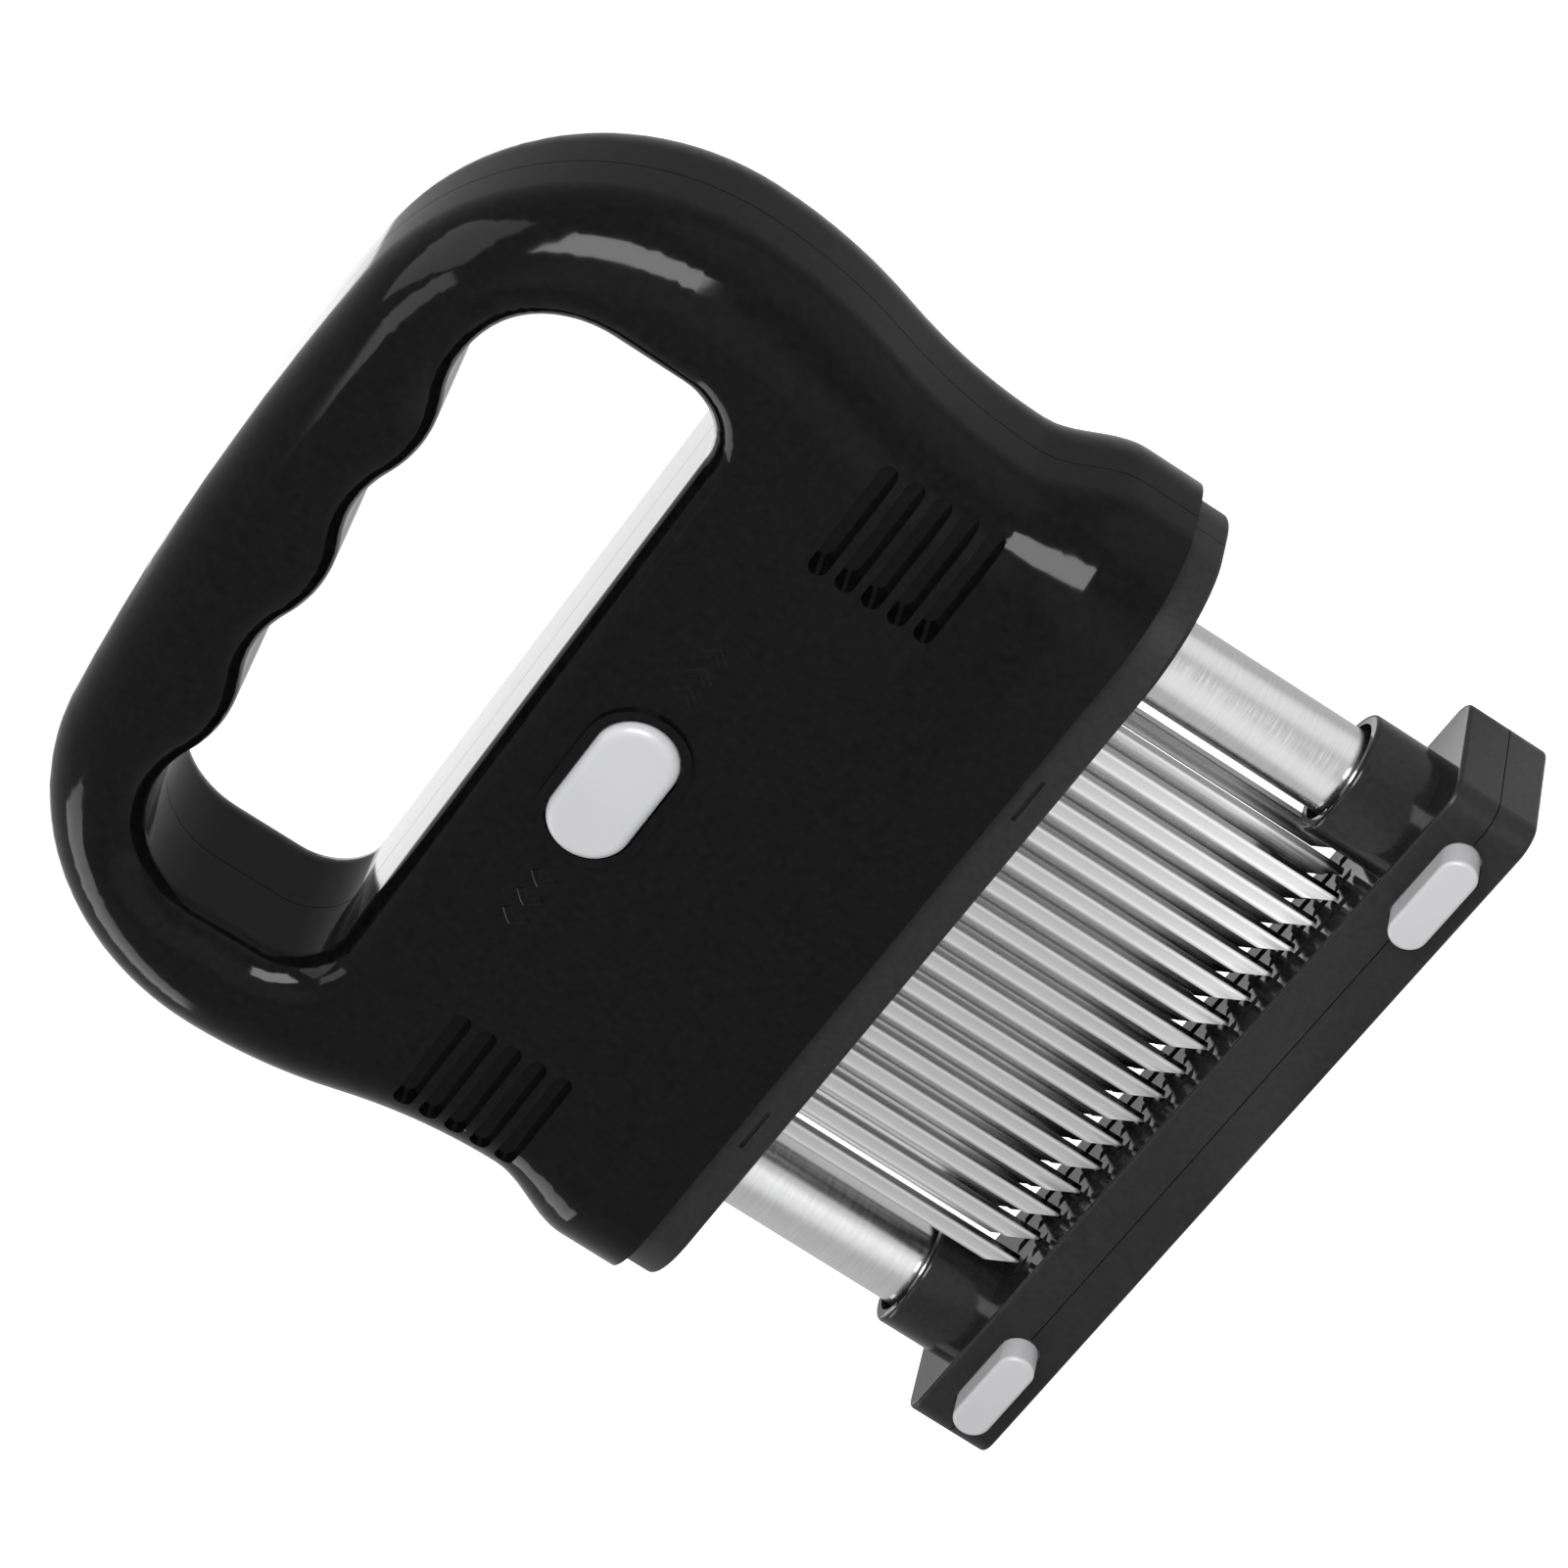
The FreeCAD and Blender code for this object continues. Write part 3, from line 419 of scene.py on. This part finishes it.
def grid_mesh(name, grids):
    """One mesh from several grids of points, each closed by a flat strip between its long edges."""
    points, faces, base = [], [], 0
    for grid in grids:
        rows, columns = grid.shape[:2]
        index = base + np.arange(rows * columns).reshape(rows, columns)
        a, b = index[:-1, :-1].ravel(), index[1:, :-1].ravel()
        c, d = index[1:, 1:].ravel(), index[:-1, 1:].ravel()
        faces += np.stack([a, b, c, d], axis=1).tolist()
        faces += np.stack([index[:-1, -1], index[1:, -1], index[1:, 0], index[:-1, 0]], axis=1).tolist()
        faces.append(index[0, :].tolist())
        faces.append(index[-1, ::-1].tolist())
        points.append(grid.reshape(-1, 3))
        base += rows * columns
    mesh = bpy.data.meshes.new(name)
    mesh.from_pydata(np.concatenate(points).tolist(), [], faces)
    mesh.validate()
    piece = bpy.data.objects.new(name, mesh)
    bpy.context.scene.collection.objects.link(piece)
    return piece


# %% [markdown]
# A row of chevrons starts at a gap from the button's end, so its place is taken from the button
# of the frame. It lies on the flat face of the handle and rides on the handle's body.

# %% Piece: chevrons beside the release button
button_low, button_high = (np.array(corner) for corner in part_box("release_button_front"))
FACE_Y = -13.2 * MM
CHEVRON_HALF = 1.3 * MM
CHEVRON_LENGTH = 1.3 * MM
CHEVRON_PITCH = 3.0 * MM
CHEVRON_COUNT = 3
CHEVRON_STEPS = 9
MARK_GAP = 3.2 * MM


def chevrons(side):
    """A row of chevrons; with share from -1 to 1, a path is arm end * |share| + tip * (1 - |share|)."""
    middle_z = (button_low[2] + button_high[2]) / 2
    start = side * (button_high[0] + MARK_GAP)
    grids = []
    for number in range(CHEVRON_COUNT):
        tip = start + side * (number * CHEVRON_PITCH + CHEVRON_LENGTH)
        arm = tip - side * CHEVRON_LENGTH
        share = np.linspace(-1.0, 1.0, CHEVRON_STEPS)[:, None]
        ends = np.array([[arm, FACE_Y, middle_z + CHEVRON_HALF]]) * np.clip(share, 0, 1)
        ends += np.array([[arm, FACE_Y, middle_z - CHEVRON_HALF]]) * np.clip(-share, 0, 1)
        ends += np.array([[tip, FACE_Y, middle_z]]) * (1 - np.abs(share))
        grids.append(ridge(ends, (0.0, -1.0, 0.0)))
    piece = grid_mesh("chevrons_right" if side > 0 else "chevrons_left", grids)
    piece.data.materials.append(finishes["gloss_black"])
    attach(piece, "handle")
    return piece


for side in (-1, 1):
    print("made", chevrons(side).name)

# %% [markdown]
# The photograph was taken from the front right and a little above, with the camera rolled so
# that the tool lies across the picture. The place below comes from fitting the foot's edges,
# the two tubes and the level grip. The lens is long, so the picture is nearly free of
# perspective. The camera could be turned by hand until it matches, but a fit gives real numbers.

# %% Camera
PICTURE = 1601
SENSOR = 36.0
FOCAL_PIXELS = 6384.0
AZIMUTH, ELEVATION, ROLL = np.radians([32.85, 9.80, -57.69])
TARGET = np.array([0.0, 0.0, 65.0]) * MM
DISTANCE = 671.2 * MM
ASIDE, ABOVE = -2.65 * MM, -1.67 * MM
NEAR_CLIP = 0.01

back = np.array([
    np.sin(AZIMUTH) * np.cos(ELEVATION), -np.cos(AZIMUTH) * np.cos(ELEVATION), np.sin(ELEVATION)])
level = np.array([np.cos(AZIMUTH), np.sin(AZIMUTH), 0.0])
upward = np.cross(back, level)
right = np.cos(ROLL) * level + np.sin(ROLL) * upward
up = np.cos(ROLL) * upward - np.sin(ROLL) * level
eye = TARGET + DISTANCE * back - ASIDE * right - ABOVE * up

lens = bpy.data.cameras.new("camera")
lens.sensor_width = SENSOR
lens.lens = FOCAL_PIXELS * SENSOR / PICTURE
lens.clip_start = NEAR_CLIP
camera = bpy.data.objects.new("camera", lens)
camera.matrix_world = Matrix((
    (right[0], up[0], back[0], eye[0]),
    (right[1], up[1], back[1], eye[1]),
    (right[2], up[2], back[2], eye[2]),
    (0, 0, 0, 1)))
bpy.context.scene.collection.objects.link(camera)
bpy.context.scene.camera = camera
print("lens", round(lens.lens, 1), "mm, eye", np.round(eye, 3))

# %% [markdown]
# The studio is a white one. The camera sees it white, and what lights the object is dimmer and
# comes mostly from the lamps. A mirror would look dull if all it saw were one white, and the
# bands along the real tubes show two broad windows. So the walls and the floor that mirrors see
# are grey, with a soft window in front and one at the right. An azimuth is counted from the
# front (-Y) towards the right (+X).

# %% Helpers: what a mirror sees
WALL_GREY = 0.62
WINDOWS = ((6.0, 38.0, 0.5), (93.0, 30.0, 0.45))


def surroundings(nodes, links, direction):
    """What a mirror sees in a direction: grey, plus a soft window at each listed azimuth."""
    total = None
    for azimuth, half_width, light in WINDOWS:
        angle = np.radians(azimuth)
        aligned = nodes.new("ShaderNodeVectorMath")
        aligned.operation = "DOT_PRODUCT"
        aligned.inputs[1].default_value = (np.sin(angle), -np.cos(angle), 0.0)
        links.new(direction, aligned.inputs[0])
        window = nodes.new("ShaderNodeMapRange")
        window.interpolation_type = "SMOOTHSTEP"
        window.inputs["From Min"].default_value = np.cos(np.radians(half_width))
        window.inputs["From Max"].default_value = 1.0
        window.inputs["To Min"].default_value = 0.0 if total else WALL_GREY
        window.inputs["To Max"].default_value = light if total else WALL_GREY + light
        links.new(aligned.outputs["Value"], window.inputs["Value"])
        if total:
            both = nodes.new("ShaderNodeMath")
            links.new(total, both.inputs[0])
            links.new(window.outputs["Result"], both.inputs[1])
            total = both.outputs[0]
        else:
            total = window.outputs["Result"]
    return total


def chosen(nodes, links, switch, plain, other):
    """One of two values, by a light path switch."""
    mix = nodes.new("ShaderNodeMix")
    links.new(switch, mix.inputs["Factor"])
    for value, socket in ((plain, mix.inputs["A"]), (other, mix.inputs["B"])):
        if isinstance(value, float):
            socket.default_value = value
        else:
            links.new(value, socket)
    return mix.outputs["Result"]


# %% [markdown]
# The world is one background whose strength depends on who looks: the camera and a ray that goes
# through something see full white, a mirror sees the surroundings, and the rest is lit dimly. A
# picture of a studio could do the same, but it would need a file.

# %% World
WORLD_LIGHT = 0.28


def studio_world():
    """White to the camera, grey with windows to a mirror, dim to all else."""
    world = bpy.data.worlds.new("studio")
    world.use_nodes = True
    nodes, links = world.node_tree.nodes, world.node_tree.links
    path = nodes.new("ShaderNodeLightPath")
    direction = nodes.new("ShaderNodeTexCoord").outputs["Generated"]
    mirrored = surroundings(nodes, links, direction)
    strength = chosen(nodes, links, path.outputs["Is Glossy Ray"], WORLD_LIGHT, mirrored)
    strength = chosen(nodes, links, path.outputs["Is Camera Ray"], strength, 1.0)
    strength = chosen(nodes, links, path.outputs["Is Transmission Ray"], strength, 1.0)
    background = nodes["Background"]
    background.inputs["Color"].default_value = (1, 1, 1, 1)
    links.new(strength, background.inputs["Strength"])
    bpy.context.scene.world = world


studio_world()
print("world:", bpy.context.scene.world.name)

# %% [markdown]
# The floor is a flat white sheet that takes the tool's shadow. Lit by the lamps alone it stays
# greyer than the background and shows a horizon, so it also glows, but only for the camera. A
# mirror sees the same surroundings in it as in the walls.

# %% Floor
FLOOR_HALF = 3.0
FLOOR_GLOW = 0.75
FLOOR_WHITE = (0.9, 0.9, 0.9)
FLOOR_ROUGHNESS = 0.6


def floor():
    """A square sheet at height 0; its corners are plus and minus FLOOR_HALF on X and Y."""
    mesh = bpy.data.meshes.new("floor")
    half = FLOOR_HALF
    corners = [(-half, -half, 0), (half, -half, 0), (half, half, 0), (-half, half, 0)]
    mesh.from_pydata(corners, [], [(0, 1, 2, 3)])
    sheet = bpy.data.objects.new("floor", mesh)
    bpy.context.scene.collection.objects.link(sheet)
    finish = Finish("floor_white", FLOOR_WHITE, FLOOR_ROUGHNESS)
    nodes, links = finish.nodes, finish.links
    path = nodes.new("ShaderNodeLightPath")
    glow = finish.spread(path.outputs["Is Camera Ray"], 0.0, FLOOR_GLOW, 0.0, 1.0)
    finish.shader.inputs["Emission Color"].default_value = (1, 1, 1, 1)
    links.new(glow, finish.shader.inputs["Emission Strength"])
    outward = nodes.new("ShaderNodeVectorMath")
    outward.operation = "NORMALIZE"
    links.new(finish.place, outward.inputs[0])
    mirrored = nodes.new("ShaderNodeEmission")
    links.new(surroundings(nodes, links, outward.outputs["Vector"]), mirrored.inputs["Strength"])
    mix = nodes.new("ShaderNodeMixShader")
    links.new(path.outputs["Is Glossy Ray"], mix.inputs["Fac"])
    links.new(finish.shader.outputs["BSDF"], mix.inputs[1])
    links.new(mirrored.outputs["Emission"], mix.inputs[2])
    links.new(mix.outputs["Shader"], nodes["Material Output"].inputs["Surface"])
    mesh.materials.append(finish.material)


floor()
print("floor:", 2 * FLOOR_HALF, "m square")

# %% [markdown]
# The bright pane on the shoulder is a softbox just above and to the right of the camera: that is
# where a line from the camera goes after it meets the rounded edge there. The pale floor of the
# finger hole is a white card behind the tool, seen in the black plastic at a very low angle.

# %% Lamps
TOOL_MIDDLE = np.array([0.0, 0.0, 80.0]) * MM
KEY_PLACE = (-0.3, -0.7, 1.0)
HOLE_FLOOR = np.array([0.0, 0.0, 93.4]) * MM
MIRRORED = np.array([-back[0], -back[1], back[2]])
CARD_DISTANCE = 0.35


def lamp(name, place, aim, size, power):
    """An area lamp at a place, turned to face what it aims at."""
    light = bpy.data.lights.new(name, "AREA")
    light.shape = "RECTANGLE"
    light.size, light.size_y = size
    light.energy = power
    holder = bpy.data.objects.new(name, light)
    place, aim = Vector(place), Vector(aim)
    turn = (place - aim).to_track_quat("Z", "Y")
    holder.matrix_world = Matrix.Translation(place) @ turn.to_matrix().to_4x4()
    bpy.context.scene.collection.objects.link(holder)
    print("lamp", name, power, "W")


def around(distance, direction):
    """A place seen from the tool: middle + distance * direction."""
    return TOOL_MIDDLE + distance * np.array(direction)


lamp("key", KEY_PLACE, TOOL_MIDDLE, (0.5, 0.35), 2.5)
lamp("softbox", around(0.8, [0.58, -0.73, 0.36]), TOOL_MIDDLE, (0.36, 0.6), 13.0)
lamp("overhead", around(0.9, [0.12, -0.15, 0.98]), TOOL_MIDDLE, (0.6, 0.6), 3.5)
lamp("left", around(0.9, [-0.93, -0.27, 0.26]), TOOL_MIDDLE, (0.35, 0.6), 3.0)
lamp("card", HOLE_FLOOR + CARD_DISTANCE * MIRRORED, HOLE_FLOOR, (0.3, 0.09), 0.12)

# %% [markdown]
# Standard colours keep the white background white, where a film look would turn it grey.

# %% Standard colours
bpy.context.scene.view_settings.view_transform = "Standard"
